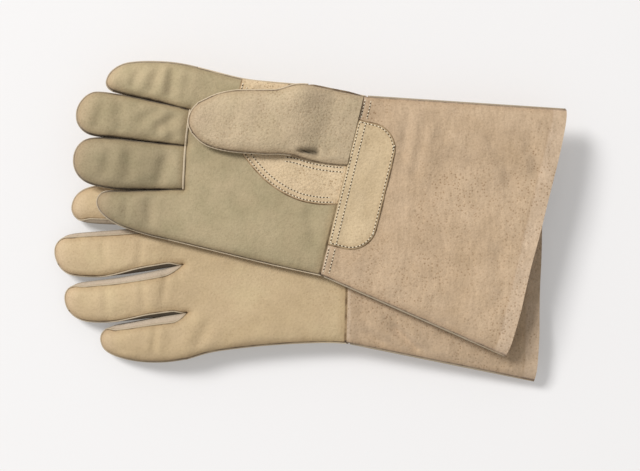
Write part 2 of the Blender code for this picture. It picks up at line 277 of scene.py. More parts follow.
def leather(name, light, mid, dark, pale, nap=0.5, pores=0.3, specks=0.3, seam_soil_and_shade=0.8, rough=0.85, sheen=0.0,
            brushed=0.0):
    """A leather in three tones, mottled, grained and pored. Along its seams it is darkened: a narrow dark line,
    partly soil and partly painted shade in the seam's crease, inside a wider band of painted shade. It is paler where
    its pale attribute says so, and in one place that is a painted highlight.
    """
    made, tree, shader = finish(name, rough)
    shader.inputs["Specular IOR Level"].default_value = 0.25
    shader.inputs["Sheen Weight"].default_value = sheen
    shader.inputs["Sheen Roughness"].default_value = 0.5
    place = tree.nodes.new("ShaderNodeTexCoord").outputs["Object"]

    def cloud(scale, detail=4.0, rough_noise=0.6):
        node = tree.nodes.new("ShaderNodeTexNoise")
        node.inputs["Scale"].default_value = scale
        node.inputs["Detail"].default_value = detail
        node.inputs["Roughness"].default_value = rough_noise
        tree.links.new(place, node.inputs["Vector"])
        return node.outputs["Fac"]

    def kept(key):
        node = tree.nodes.new("ShaderNodeAttribute")
        node.attribute_name = key
        return node.outputs["Fac"]

    def span(value, low, high, at_low, at_high):
        node = tree.nodes.new("ShaderNodeMapRange")
        for key, number in (("From Min", low), ("From Max", high), ("To Min", at_low), ("To Max", at_high)):
            node.inputs[key].default_value = number
        tree.links.new(value, node.inputs["Value"])
        return node.outputs["Result"]

    def ramp(value, stops):
        node = tree.nodes.new("ShaderNodeValToRGB")
        while len(node.color_ramp.elements) < len(stops):
            node.color_ramp.elements.new(0.5)
        for element, (at, colour) in zip(node.color_ramp.elements, stops):
            element.position = at
            element.color = (*colour, 1)
        tree.links.new(value, node.inputs["Fac"])
        return node.outputs["Color"]

    def mix(kind, factor, a, b):
        node = tree.nodes.new("ShaderNodeMix")
        node.data_type = "RGBA"
        node.blend_type = kind
        for socket, value in (("Factor", factor), (6, a), (7, b)):
            target = node.inputs[socket]
            if isinstance(value, (int, float)):
                target.default_value = value
            elif isinstance(value, tuple):
                target.default_value = (*value, 1)
            else:
                tree.links.new(value, target)
        return node.outputs[2]

    def times(a, b):
        node = tree.nodes.new("ShaderNodeMath")
        node.operation = "MULTIPLY"
        for socket, value in ((0, a), (1, b)):
            if isinstance(value, float):
                node.inputs[socket].default_value = value
            else:
                tree.links.new(value, node.inputs[socket])
        return node.outputs[0]

    tone = ramp(cloud(30, 5.0, 0.62), [(0.30, dark), (0.5, mid), (0.70, light)])
    tone = mix("MIX", times(span(cloud(48, 3.0), 0.35, 0.75, 0.0, 1.0), 0.35), tone, pale)
    tone = mix("MIX", times(kept("pale"), span(cloud(70, 4.0), 0.3, 0.6, 0.55, 1.0)), tone, pale)
    grain = [(0.28, (0.72, 0.70, 0.66)), (0.5, (1.0, 1.0, 1.0)), (0.76, (1.16, 1.15, 1.13))]
    tone = mix("MULTIPLY", nap, tone, ramp(cloud(560, 3.0, 0.75), grain))
    if brushed:
        along = tree.nodes.new("ShaderNodeMapping")
        along.inputs["Scale"].default_value = (330, 75, 75)
        along.inputs["Rotation"].default_value = (0, 0, math.radians(-12))
        tree.links.new(place, along.inputs["Vector"])
        streak = tree.nodes.new("ShaderNodeTexNoise")
        streak.inputs["Scale"].default_value = 1.0
        streak.inputs["Detail"].default_value = 5.0
        streak.inputs["Roughness"].default_value = 0.7
        tree.links.new(along.outputs["Vector"], streak.inputs["Vector"])
        strokes = ramp(streak.outputs["Fac"], [(0.3, (0.74, 0.71, 0.68)), (0.68, (1.2, 1.19, 1.18))])
        tone = mix("MULTIPLY", brushed, tone, strokes)
    pore = tree.nodes.new("ShaderNodeTexVoronoi")
    pore.inputs["Scale"].default_value = 430
    tree.links.new(place, pore.inputs["Vector"])
    dots = times(span(pore.outputs["Distance"], 0.14, 0.36, 1.0, 0.0), span(cloud(20, 3.0), 0.42, 0.62, 0.12, 1.0))
    tone = mix("MULTIPLY", times(dots, specks), tone, (0.52, 0.42, 0.33))
    tone = mix("MULTIPLY", 1.0, tone, kept("shade"))
    # Painted shade: a wide band within 5 mm of every seam is darkened, for the shade in the grooves between pieces
    # and fingers.
    tone = mix("MULTIPLY", span(kept("seam_mm"), 0.8, 5.0, 0.5 * seam_soil_and_shade, 0.0), tone, (0.68, 0.58, 0.48))
    # A narrow dark line along every seam, broken up by noise: partly soil in the stitching and partly painted shade
    # in the seam's crease.
    uneven = span(cloud(110, 3.0), 0.38, 0.60, 0.35, 1.0)
    tone = mix("MULTIPLY", times(span(kept("seam_mm"), 0.45, 1.15, seam_soil_and_shade, 0.0), uneven), tone, (0.16, 0.10, 0.06))
    tree.links.new(tone, shader.inputs["Base Color"])

    bump = tree.nodes.new("ShaderNodeBump")
    bump.inputs["Strength"].default_value = pores
    bump.inputs["Distance"].default_value = 0.0006
    tree.links.new(pore.outputs["Distance"], bump.inputs["Height"])
    fuzz = tree.nodes.new("ShaderNodeBump")
    fuzz.inputs["Strength"].default_value = nap
    fuzz.inputs["Distance"].default_value = 0.0008
    tree.links.new(cloud(700, 3.0, 0.7), fuzz.inputs["Height"])
    tree.links.new(bump.outputs["Normal"], fuzz.inputs["Normal"])
    tree.links.new(fuzz.outputs["Normal"], shader.inputs["Normal"])
    return made


PALM_LEATHER = leather("grey-green palm leather", (0.455, 0.370, 0.228), (0.395, 0.325, 0.195), (0.345, 0.285, 0.166),
                       (0.50, 0.375, 0.235), nap=0.5, pores=0.15, specks=0.2, rough=0.92, sheen=0.12)
BACK_LEATHER = leather("golden back leather", (0.56, 0.435, 0.255), (0.52, 0.39, 0.228), (0.465, 0.345, 0.20),
                       (0.56, 0.42, 0.27), nap=0.4, pores=0.2, specks=0.25, rough=0.72)
COLOURS = {"palm": PALM_LEATHER, "back": BACK_LEATHER}


def wear(obj, material, node=None):
    """Gives a piece its finish, and hides the CAD node that it stands for."""
    obj.data.materials.clear()
    obj.data.materials.append(material)
    if node:
        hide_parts(node)
    return obj


COLUMNS = 22  # across one finger, closer together at its seams
SPREAD = 0.5 * (1 - np.cos(np.pi * np.arange(COLUMNS + 1) / COLUMNS))


def knuckle_row(glove, k):
    """The points across the base of one finger, from its little side to its thumb side."""
    a, b = np.array(CORNERS[glove][k], float), np.array(CORNERS[glove][k + 1], float)
    return a + SPREAD[:, None] * (b - a)


def hand_grid(glove, rows=90):
    far = np.concatenate([knuckle_row(glove, k)[(1 if k else 0):] for k in range(4)])
    low, high = (spline(PATTERN[glove][side], rows) for side in ("little side", "thumb side"))
    share = (far[:, 1] - far[0, 1]) / (far[-1, 1] - far[0, 1])
    near = np.stack([np.zeros(len(far)), low[0, 1] + share * (high[0, 1] - low[0, 1])], axis=1)
    return patch(near, far, low, high)


def base_seam(glove, uv):
    """How far each point is from the seam that joins the fronts of the middle and ring fingers to the palm."""
    a, b, c = CORNERS[glove][1:4]
    return np.minimum(off_line(uv, a, b)[0], off_line(uv, b, c)[0])


LEATHER_MM = 1.1
for glove in ("left", "right"):
    uv = hand_grid(glove)
    for front, label, node in ((True, "palm", "palm_panel"), (False, "back", "back_panel")):
        height, d = hand_height(glove, uv, front)
        z = height if front else -height
        # A dark line beside the cuff's lap edge, partly soil and partly the painted shadow of the lap, inside a wider
        # band of painted shade.
        d = np.minimum(d, np.abs(uv[..., 0] - 2.4) * 0.75)
        # The same beside the welt at the bases of the middle and ring fingers: a dark line, partly soil and partly
        # painted shade, in a wider band of painted shade.
        if front:
            d = np.minimum(d, (base_seam(glove, uv) - 0.6).clip(0))
        panel = surface(f"{glove}_{label}_leather", world(glove, uv, z), up(glove, front), d)
        thicken(panel, LEATHER_MM)
        wear(panel, COLOURS[label], f"{glove}_{node}")
        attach(panel, f"{glove}_hand")

# FINGERS. Each is a front and a back of leather with a thin strip, the fourchette, let in on every side that
# faces another finger. On the left glove they have rolled, so that some strips show from above.
FOURCHETTE_LEATHER = leather("thin pinkish fourchette leather", (0.60, 0.50, 0.39), (0.56, 0.465, 0.355),
                             (0.50, 0.41, 0.305), (0.62, 0.52, 0.42), nap=0.4, pores=0.15, specks=0.1, rough=0.9)
FOURCHETTE_MM = 0.8
LONG = 42  # rows along a finger
HANG = {"right": -5.0, "left": 13.6}  # how far a fingertip hangs towards the palm
INNER_SIDES = {"index": ("low",), "middle": ("low", "high"), "ring": ("low", "high"), "little": ("high",)}
STRIP_HALF = 2.0  # half height of a fourchette at a finger's side
# How far the back leather has rolled in from a finger's side, and how much darker or lighter each finger is made than
# the hand, from its base on.
ROLL = {("left", "ring", "high"): 5.6, ("left", "little", "high"): 6.2, ("left", "index", "low"): 5.5,
        ("left", "middle", "high"): 4.4, ("left", "middle", "low"): 3.4, ("left", "ring", "low"): 3.0}
TONE = {("right", "index"): 1.08, ("right", "middle"): 0.95, ("right", "ring"): 0.80, ("right", "little"): 0.80,
        ("left", "index"): 0.98, ("left", "middle"): 1.0, ("left", "ring"): 1.0, ("left", "little"): 0.95}
STRIPS = {("index", "low"): "index_fourchette", ("middle", "high"): "middle_fourchette_index_side",
          ("middle", "low"): "middle_fourchette_ring_side", ("ring", "high"): "ring_fourchette_middle_side",
          ("ring", "low"): "ring_fourchette_little_side", ("little", "high"): "little_fourchette"}
# Where a finger's bend would start and end; they are read, but nothing bends the fingers.
BEND = {"index": (127, 158), "middle": (126, 160), "ring": (123, 158), "little": (120, 152)}


def hang(glove, u, tip):
    """Drop of a finger at u, from none at its base to all of it at the tip."""
    return HANG[glove] * np.clip((u - 124) / (tip - 124), 0, 1.05) ** 1.3


def finger_edges(glove, finger):
    """The finger's outline as its little side, its thumb side and the round of its tip between them."""
    marks = PATTERN[glove][finger]
    outline = spline(marks, 600)
    middle = (outline[0] + outline[-1]) / 2
    along = np.argmax(np.linalg.norm(outline - middle, axis=1))
    half = int(9.0 / np.linalg.norm(np.diff(outline, axis=0), axis=1).mean())
    low, tip = outline[: along - half + 1], outline[along - half : along + half + 1]
    high = outline[along + half :][::-1]
    pick = lambda line, t: np.stack([np.interp(t, np.linspace(0, 1, len(line)), line[:, k]) for k in (0, 1)], axis=1)
    even = np.linspace(0, 1, LONG)
    return pick(low, even), pick(high, even), pick(tip, SPREAD)


def finger_bodies(glove, finger, obj):
    start, end = BEND[finger]
    v = np.mean([p[1] for p in PATTERN[glove][finger]])
    a, b = (world(glove, np.array([u, v]), np.array(0.0)) for u in (start, end))
    a[2] = b[2] = 0
    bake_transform(obj)
    return obj


def rolled_over(glove, finger, side):
    """How far the back leather has rolled in from a finger's side, baring the fourchette."""
    t = np.linspace(0, 1, LONG)
    widest = ROLL.get((glove, finger, side), 0.0)
    if side == "low" and finger != "index":
        return widest * smooth(t / 0.12) * smooth((0.66 - t) / 0.4)
    return widest * np.sqrt(smooth(t / 0.17)) * (1 - 0.45 * t) * smooth((1 - t) / 0.16)


def shares(count):
    """Nothing at the finger's base and tip, whole between them."""
    t = np.linspace(0, 1, count)
    return smooth(t / 0.10) * smooth((1 - t) / 0.22)


ROUND = {}  # the sewn edge of each finger's back leather, from its little side round the tip
for glove in ("left", "right"):
    for k, finger in enumerate(FINGERS):
        low, high, tip = finger_edges(glove, finger)
        far_u = tip[:, 0].max()
        whole = shares(LONG)
        rim = {}  # heights of the sewn edges, between which the strips are let in
        for front, label in ((True, "front"), (False, "back")):
            inset = {side: 0 * whole if front else rolled_over(glove, finger, side) for side in ("low", "high")}
            across = high - low
            unit = across / np.linalg.norm(across, axis=1, keepdims=True)
            edge_low = low + unit * inset["low"][:, None]
            edge_high = high - unit * inset["high"][:, None]
            uv = patch(knuckle_row(glove, k), tip, edge_low, edge_high)
            lift = [STRIP_HALF * whole if s in INNER_SIDES[finger] else 0 * whole for s in ("low", "high")]
            t = np.linspace(0, 1, COLUMNS + 1)[None]
            edge = 0.4 + lift[0][:, None] * (1 - t) + lift[1][:, None] * t
            height, d = hand_height(glove, uv, front, edge)
            z = hang(glove, uv[..., 0], far_u) + (height if front else -height)
            # A dark line beside the welt at the finger's base, partly soil and partly painted shade, in a wider band
            # of painted shade.
            if front and finger in ("middle", "ring"):
                d = np.minimum(d, (base_seam(glove, uv) - 0.6).clip(0))
            if not front:
                d = d + 0.55
                d = np.minimum(d, (uv[..., 1] - edge_low[:, 1:]).clip(0) + 0 * d)
                d = np.minimum(d, (edge_high[:, 1:] - uv[..., 1]).clip(0) + 0 * d)
            along = smooth((uv[..., 0] - 118) / 30)
            # Paler towards the fingertip.
            paler_tips = 0.75 * smooth((uv[..., 0] - far_u + 17) / 15)
            piece = surface(f"{glove}_{finger}_{label}_leather", world(glove, uv, z), up(glove, front), d,
                            shade=1 + (TONE[(glove, finger)] - 1) * along, pale=paler_tips)
            thicken(piece, LEATHER_MM)
            kind = "palm" if front else "back"
            wear(piece, COLOURS[kind], f"{glove}_{finger}_{label}")
            finger_bodies(glove, finger, piece)
            rim[label] = {"low": z[:, 0], "high": z[:, -1]}
            if not front:
                ROUND[(glove, finger)] = [np.concatenate([g[:, 0], g[-1, 1:-1], g[::-1, -1]]) for g in (uv, z)]
        for side in INNER_SIDES[finger]:
            rolled = rolled_over(glove, finger, side)
            steps = 9  # points across a strip
            uv = np.zeros((LONG, steps, 2))
            z = np.zeros((LONG, steps))
            outline = low if side == "low" else high
            away = (low - high) / np.linalg.norm(low - high, axis=1, keepdims=True) * (1 if side == "low" else -1)
            for j in range(steps):
                t = j / (steps - 1)
                into = rolled * max(0.0, 2 * t - 1) ** 1.5
                uv[:, j] = outline - away * into[:, None] + away * 0.35 * math.sin(math.pi * t)
                z[:, j] = rim["front"][side] * (1 - t) + rim["back"][side] * t
            mid = (low + high) / 2
            centre = world(glove, mid, hang(glove, mid[:, 0], far_u)).mean(axis=0)
            t = np.linspace(0, 1, steps)[None]
            border = np.abs(z - z[:, -1:]) + 0.15 + rolled[:, None] * (1 - np.clip(2 * t - 1, 0, 1) ** 1.5)
            bared = side == "high" or finger == "index"  # these show from above, the others lie in a dark gap
            # Painted shade: the strips that lie in the gaps between fingers are darkened nearly to black; the bared
            # ones are darker towards their front edge.
            strip_tone_and_gap_shade = (0.42 if bared else 0.08) + (0.52 if bared else 0.14) * smooth((t - 0.30) / 0.5)
            piece = surface(f"{glove}_{STRIPS[(finger, side)]}", world(glove, uv, z), lambda p: p - centre,
                            np.broadcast_to(0.55 * border, (LONG, steps)), shade=np.broadcast_to(strip_tone_and_gap_shade, (LONG, steps)))
            thicken(piece, FOURCHETTE_MM)
            wear(piece, FOURCHETTE_LEATHER, f"{glove}_{STRIPS[(finger, side)]}")
            finger_bodies(glove, finger, piece)

# GAUNTLET CUFFS. Two flared panels of brushed pinkish suede, sewn along both sides, with a turned hem at the
# mouth. They are lapped over the end of the hand and sewn down, and lined with a sleeve of cotton.
CUFF_SUEDE = leather("pinkish tan cuff suede", (0.575, 0.425, 0.28), (0.53, 0.385, 0.248), (0.475, 0.340, 0.213),
                     (0.60, 0.455, 0.32), nap=0.55, pores=0.25, specks=0.7, seam_soil_and_shade=0.7, rough=0.97, sheen=0.3,
                     brushed=0.45)
COTTON = leather("unbleached cotton lining", (0.63, 0.56, 0.43), (0.60, 0.53, 0.40), (0.55, 0.48, 0.36),
                 (0.66, 0.59, 0.46), nap=0.6, pores=0.1, specks=0.0, seam_soil_and_shade=0.2, rough=0.98, sheen=0.3)
SUEDE_MM = 1.4
CUFF_LENGTH, CUFF_HALF_WIDTH, CUFF_FLARE = 150.0, 69.0, 26.5
CUFF_HANG = {"right": -2.5, "left": 10.2}  # drop of the mouth towards the palm


def cuff_side(u):
    """Half width of the cuff at u."""
    return CUFF_HALF_WIDTH + CUFF_FLARE * np.clip(-u / CUFF_LENGTH, 0, 1)


def cuff_height(glove, uv, front):
    """Height of the suede over the cuff's mid plane, and the distance from the side seams."""
    share = np.clip(-uv[..., 0] / CUFF_LENGTH, 0, 1)
    d = np.clip(cuff_side(uv[..., 0]) - np.abs(uv[..., 1]), 0, None)
    full = HAND_HALF + 3.6 * share
    rise = np.sqrt(np.clip(1 - (1 - np.clip(d / (30 + 12 * share), 0, 1)) ** 2, 0, 1))
    up_side = front == (glove == "right")
    bump = relief(glove, uv, up_side) * smooth(d / 8) * (1.5 if up_side else 0.4)
    lap = 1.15 * smooth((uv[..., 0] + 12) / 12)
    return 0.4 + (full - 0.4) * rise + bump + lap, d


def cuff_hang(glove, u):
    return CUFF_HANG[glove] * np.clip(-u / CUFF_LENGTH, 0, 1) ** 1.1


def turn_outward(obj, shut_from=None):
    """Turns the faces of a round piece outward. Its ends are shut first, from one point's number on."""
    bm = bmesh.new()
    bm.from_mesh(obj.data)
    if shut_from is not None:
        ends = [e for e in bm.edges if e.is_boundary and all(v.index >= shut_from for v in e.verts)]
        bmesh.ops.holes_fill(bm, edges=ends, sides=0)
    bmesh.ops.recalc_face_normals(bm, faces=bm.faces)
    bm.to_mesh(obj.data)
    bm.free()
    return obj


def cuff_bodies(glove, obj):
    a, b = (world(glove, np.array([u, 0.0]), np.array(0.0)) for u in (2, -26))
    a[2] = b[2] = 0
    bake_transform(obj)
    return obj


for glove in ("left", "right"):
    rows = np.concatenate([[1.6, 1.0, 0.4, -0.3, -1.0], np.linspace(-2, -CUFF_LENGTH, 96)])
    across = np.sin(np.linspace(-np.pi / 2, np.pi / 2, 101))
    share = np.clip(-rows / CUFF_LENGTH, 0, 1)
    uv = np.stack([np.repeat(rows[:, None], len(across), axis=1), cuff_side(rows)[:, None] * across[None]], axis=-1)
    mouth_wave = 0.7 * wander(np.stack([0 * across, 95 * across], axis=-1), 40, 21) - 1.6 * np.abs(across) ** 14
    uv[..., 0] -= smooth((share[:, None] - 0.7) / 0.3) * mouth_wave[None]
    for front, label in ((True, "front"), (False, "back")):
        height, d = cuff_height(glove, uv, front)
        z = cuff_hang(glove, uv[..., 0]) + (height if front else -height)
        mouth = smooth((-uv[..., 0] - CUFF_LENGTH + 12.5) / 2.5)
        d = np.minimum(d, 0.9 + np.abs(uv[..., 0] + CUFF_LENGTH - 11.5) * 3)
        # Painted highlight: the suede is also made pale along the lap edge at the cuff seam, as a lit fold; the band
        # at the mouth is paler too.
        mouth = np.maximum(mouth, smooth((uv[..., 0] + 1.2) / 0.8))
        # Painted shade: the whole left cuff is darkened for the shadow of the right cuff over it; the right cuff is
        # darker towards its thumb side.
        tone = 0.985 - 0.06 * smooth(uv[..., 1] / 50) if glove == "right" else 0.94
        panel = surface(f"{glove}_cuff_{label}_suede", world(glove, uv, z), up(glove, front), d, tone, mouth)
        thicken(panel, SUEDE_MM)
        wear(panel, CUFF_SUEDE, f"{glove}_cuff_{label}")
        cuff_bodies(glove, panel)
    turn = np.linspace(0, 2 * np.pi, 96, endpoint=False)
    u = np.repeat(np.linspace(-2, -CUFF_LENGTH + 3, 30)[:, None], len(turn), axis=1)
    uv = np.stack([u, (cuff_side(u) - 3.0) * np.cos(turn)], axis=-1)
    flat_oval = np.sign(np.sin(turn)) * np.abs(np.sin(turn)) ** 0.12
    z = np.clip(cuff_height(glove, uv, True)[0] - 3.4, 0.15, None) * flat_oval + cuff_hang(glove, u)
    lining = turn_outward(surface(f"{glove}_cuff_cotton", world(glove, uv, z), (0, 0, 0), closed=True))
    wear(lining, COTTON, f"{glove}_cuff_lining")
    cuff_bodies(glove, lining)

# LININGS of the hands and fingers: soft inner bags of unbleached cotton, cut a little smaller than the leather
# and caught in the same seams. The hand's is an open sleeve and each finger's is sewn shut at its tip.
def bag(name, glove, uv, top, bottom, tip=True):
    """A flattened sleeve through the same pattern points as two panels, sewn shut at its tip."""
    ring = np.concatenate([uv, uv[:, ::-1]], axis=1)
    z = np.concatenate([top, bottom[:, ::-1]], axis=1)
    made = surface(name, world(glove, ring, z), (0, 0, 0), closed=True)
    turn_outward(made, (len(ring) - 1) * ring.shape[1] if tip else None)
    return wear(made, COTTON)


def drawn_in(uv, mm):
    """The same grid with its sides moved in a little."""
    run = uv[:, -1:] - uv[:, :1]
    unit = run / np.linalg.norm(run, axis=-1, keepdims=True)
    t = np.linspace(-1, 1, uv.shape[1])[None, :, None]
    return uv - unit * t * mm


LINING_INSIDE = 3.0  # from the leather's outer face
for glove in ("left", "right"):
    uv = drawn_in(hand_grid(glove, 30)[:-1, ::2], 2.0)
    room = [np.clip(hand_height(glove, uv, front)[0] - LINING_INSIDE, 0.1, None) for front in (True, False)]
    lining = bag(f"{glove}_hand_cotton", glove, uv, room[0], -room[1], tip=False)
    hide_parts(f"{glove}_hand_lining")
    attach(lining, f"{glove}_hand")
    for k, finger in enumerate(FINGERS):
        low, high, tip = finger_edges(glove, finger)
        uv = drawn_in(patch(knuckle_row(glove, k), tip, low, high)[:-1:3, ::2], 2.0)
        room = [np.clip(hand_height(glove, uv, front)[0] - LINING_INSIDE, 0.1, None) for front in (True, False)]
        drop = hang(glove, uv[..., 0], tip[:, 0].max())
        lining = bag(f"{glove}_{finger}_cotton", glove, uv, drop + room[0], drop - room[1])
        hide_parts(f"{glove}_{finger}_lining")
        finger_bodies(glove, finger, lining)

# THUMBS. The front leather starts at the cuff seam, covers the ball of the thumb and is closed by a second
# piece on the side that faces the palm. The thumb lies folded over the palm, lined with cotton.
THUMB_LEATHER = leather("pored grey-green thumb leather", (0.595, 0.47, 0.308), (0.53, 0.42, 0.272),
                        (0.465, 0.365, 0.228), (0.595, 0.445, 0.305), nap=0.75, pores=0.35, specks=0.45,
                        rough=0.92, sheen=0.12)
THUMB_PATTERN = {
    "low": [(2, 15.2), (12, 13.4), (22, 12.4), (32, 12.3), (41.5, 12.9), (53, 11.6), (61.6, 9.4), (73, 7.3),
            (85, 5.3), (96, 4.4), (106, 4.9), (113, 7.2), (119.5, 11.4)],
    "tip": [(119.5, 11.4), (123, 16), (124.4, 21.5), (123.3, 28), (120, 34)],
    "high": [(2, 69), (24, 68.2), (36, 67.3), (45, 66.4), (53.7, 64), (60, 60.4), (66, 57), (76.4, 54.2),
             (88.7, 51.2), (98, 48.4), (109, 42.8), (120, 34)],
}
THUMB_EDGE = np.concatenate([spline(THUMB_PATTERN["low"], 120), spline(THUMB_PATTERN["tip"], 40),
                             spline(THUMB_PATTERN["high"], 120)[::-1]])
THUMB_CREASES = [((27, 60), (47, 38), 0.55, 7.5), ((47, 38), (49, 22), 0.4, 7.0), ((30, 30), (12, 48), 0.5, 8.0),
                 ((18, 22), (15.5, 22.5), 1.2, 2.4), ((92, 12), (90, 44), 0.4, 5.0), ((76, 14), (72, 48), 0.4, 6.0)]


def hollow(uv):
    """From 0 to 1: the small pit at the thumb's root, where its leather folds over."""
    a, b = np.array([43.0, 16.6]), np.array([25.0, 19.4])
    run = b - a
    along = ((uv - a) @ run) / (run @ run)
    off = np.abs(np.cross(run, uv - a)) / np.linalg.norm(run)
    wide = 0.6 + 2.4 * np.clip(along, 0, 1)
    return np.exp(-((off / wide) ** 2)) * smooth(along / 0.35) * smooth((1.12 - along) / 0.2)


def edge_distance(uv, edge):
    """How far pattern points are from a line of points."""
    flat = uv.reshape(-1, 2)
    return np.array([np.linalg.norm(edge - p, axis=1).min() for p in flat]).reshape(uv.shape[:-1])


def press(uv, creases):
    """Soft folds pressed along straight lines."""
    found = np.zeros(uv.shape[:-1])
    for a, b, depth, width in creases:
        near = off_line(uv, a, b)[0]
        found -= depth * (np.exp(-((near / width) ** 2)) - 0.25 * np.exp(-(((near - 2 * width) / width) ** 2)))
    return found


def thumb_levels(glove, uv):
    """Heights of the thumb's side seam and of its two leathers over the mid plane of the hand."""
    d = edge_distance(uv, THUMB_EDGE)
    off = smooth((uv[..., 0] - 20) / 34)
    below = hand_height(glove, uv, True)[0]
    base = below + 1.2 + 1.2 * smooth((24 - uv[..., 1]) / 4)
    seam = (1 - off) * (base - 0.4) + off * 13.6
    reach = 7 + 6 * off
    round_ = np.sqrt(np.clip(1 - (1 - np.clip(d / reach, 0, 1)) ** 2, 0, 1))
    swell = (1 - off) * 2.2 + off * 6.2
    pucker = 0.3 * wander(uv, 5, 13) * np.exp(-((d - 3) / 3) ** 2)
    uneven = 0.7 * wander(uv, 22, 11) + 0.35 * wander(uv, 9, 12) + pucker
    folds = press(uv, THUMB_CREASES) if glove == "right" else 0
    top = seam + swell * round_ + (uneven + folds) * smooth(d / 4)
    top = np.maximum(top - 5.5 * hollow(uv), base - 0.8)
    bottom = np.maximum(seam - 5.2 * round_ * off, below + 2.1 * smooth((uv[..., 0] - 34) / 10))
    return seam, top, bottom, d


def thumb_bodies(glove, obj):
    a, b = (world(glove, np.array([u, 40.0]), np.array(0.0)) for u in (24, 58))
    a[2] = b[2] = 0
    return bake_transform(obj)


for glove in ("left", "right"):
    low, high = spline(THUMB_PATTERN["low"], 80), spline(THUMB_PATTERN["high"], 80)
    tip = spline(THUMB_PATTERN["tip"], 400)
    across = 0.5 * (1 - np.cos(np.pi * np.arange(35) / 34))
    tip = np.stack([np.interp(across, np.linspace(0, 1, 400), tip[:, k]) for k in (0, 1)], axis=1)
    near = low[0] + across[:, None] * (high[0] - low[0])
    uv = patch(near, tip, low, high)
    seam, top, bottom, d = thumb_levels(glove, uv)
    # Paler towards the thumb's tip.
    paler_tips = 0.25 * smooth((uv[..., 0] - 104) / 16)
    # Painted shade: the pit at the thumb's root is darkened.
    painted_hollow_shade = 1 - 0.72 * hollow(uv) ** 1.5
    # Darker towards the thumb's root and towards its tip.
    darker_ends = 1 - 0.12 * smooth((50 - uv[..., 0]) / 40) - 0.10 * smooth((uv[..., 0] - 100) / 15)
    piece = surface(f"{glove}_thumb_front_leather", world(glove, uv, top), up(glove, True), d, painted_hollow_shade * darker_ends, paler_tips)
    thicken(piece, LEATHER_MM)
    wear(piece, THUMB_LEATHER, f"{glove}_thumb_front")
    thumb_bodies(glove, piece)
    start = int(np.argmax(low[:, 0] > 36))
    under = world(glove, uv[start:], bottom[start:])
    piece = surface(f"{glove}_thumb_back_leather", under, up(glove, False), d[start:])
    thicken(piece, LEATHER_MM)
    wear(piece, PALM_LEATHER, f"{glove}_thumb_back")
    thumb_bodies(glove, piece)
    inner = drawn_in(uv[start:-1:2, ::2], 2.0)
    seam, top, bottom, _ = thumb_levels(glove, inner)
    middle = (top + bottom) / 2
    lining = bag(f"{glove}_thumb_cotton", glove, inner, np.maximum(top - LINING_INSIDE, middle + 0.1),
                 np.minimum(bottom + LINING_INSIDE, middle - 0.1))
    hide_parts(f"{glove}_thumb_lining")
    thumb_bodies(glove, lining)

# STRAPS AND CUFF PATCHES. Light tan reinforcing leather: a crescent strap on the palm round the root of the
# thumb, rough side out, and a smooth D-shaped patch at the start of the cuff. Both are stitched down on top.
PATCH_LEATHER = leather("light tan patch leather", (0.64, 0.495, 0.31), (0.60, 0.46, 0.283), (0.53, 0.40, 0.24),
                        (0.65, 0.51, 0.335), nap=0.55, pores=0.3, specks=0.35, seam_soil_and_shade=0.85, rough=0.78)
STRAP_LEATHER = leather("rough tan strap leather", (0.71, 0.55, 0.355), (0.65, 0.50, 0.315), (0.57, 0.43, 0.265),
                        (0.71, 0.545, 0.375), nap=0.85, pores=0.4, specks=0.75, seam_soil_and_shade=0.85, rough=0.92)
PATCH_MM = 1.0  # thickness of the strap and the patch
STRAP_LOW = [(2, -15), (14, -18), (27, -19), (38, -17.8), (48, -15), (57, -11.3), (64.5, -7), (73, -1), (81.5, 6.4),
             (88, 18), (91.5, 32), (93.5, 46), (94, 59.5)]
STRAP_HIGH = [(2, 16), (14, 18), (25, 17), (38, 15), (48, 17), (56, 25), (59, 38), (59, 50), (58, 64.0)]
PATCH_U, PATCH_LOW, PATCH_HIGH, PATCH_ROUND = (1.8, -31.0), -46.0, 51.0, 20.0


def to_side_seam(glove, uv):
    """Fits the strap's wide end to the side seam of this glove's hand, where it is sewn in."""
    side = np.array(PATTERN[glove]["thumb side"], float)
    end_v = np.interp(uv[..., 0], (STRAP_HIGH[-1][0], STRAP_LOW[-1][0]), (STRAP_HIGH[-1][1], STRAP_LOW[-1][1]))
    edge_v = np.interp(uv[..., 0], side[:, 0], side[:, 1]) - 0.4
    shift = (edge_v - end_v) * np.clip(uv[..., 1] / end_v, 0, 1) ** 2
    return np.stack([uv[..., 0], uv[..., 1] + shift], axis=-1)


def rounded(count):
    """Rows of the cuff patch from the seam to its far edge, whose corners are rounded."""
    t = np.linspace(0, 1, count)
    turn = np.linspace(0, np.pi / 2, count)
    far = PATCH_U[1] + PATCH_ROUND
    straight = PATCH_U[0] + (far - PATCH_U[0]) * t[:-1]
    u = np.concatenate([straight, far - PATCH_ROUND * np.sin(turn)])
    pull = np.concatenate([0 * straight, PATCH_ROUND * (1 - np.cos(turn))])
    return u, PATCH_LOW + pull, PATCH_HIGH - pull


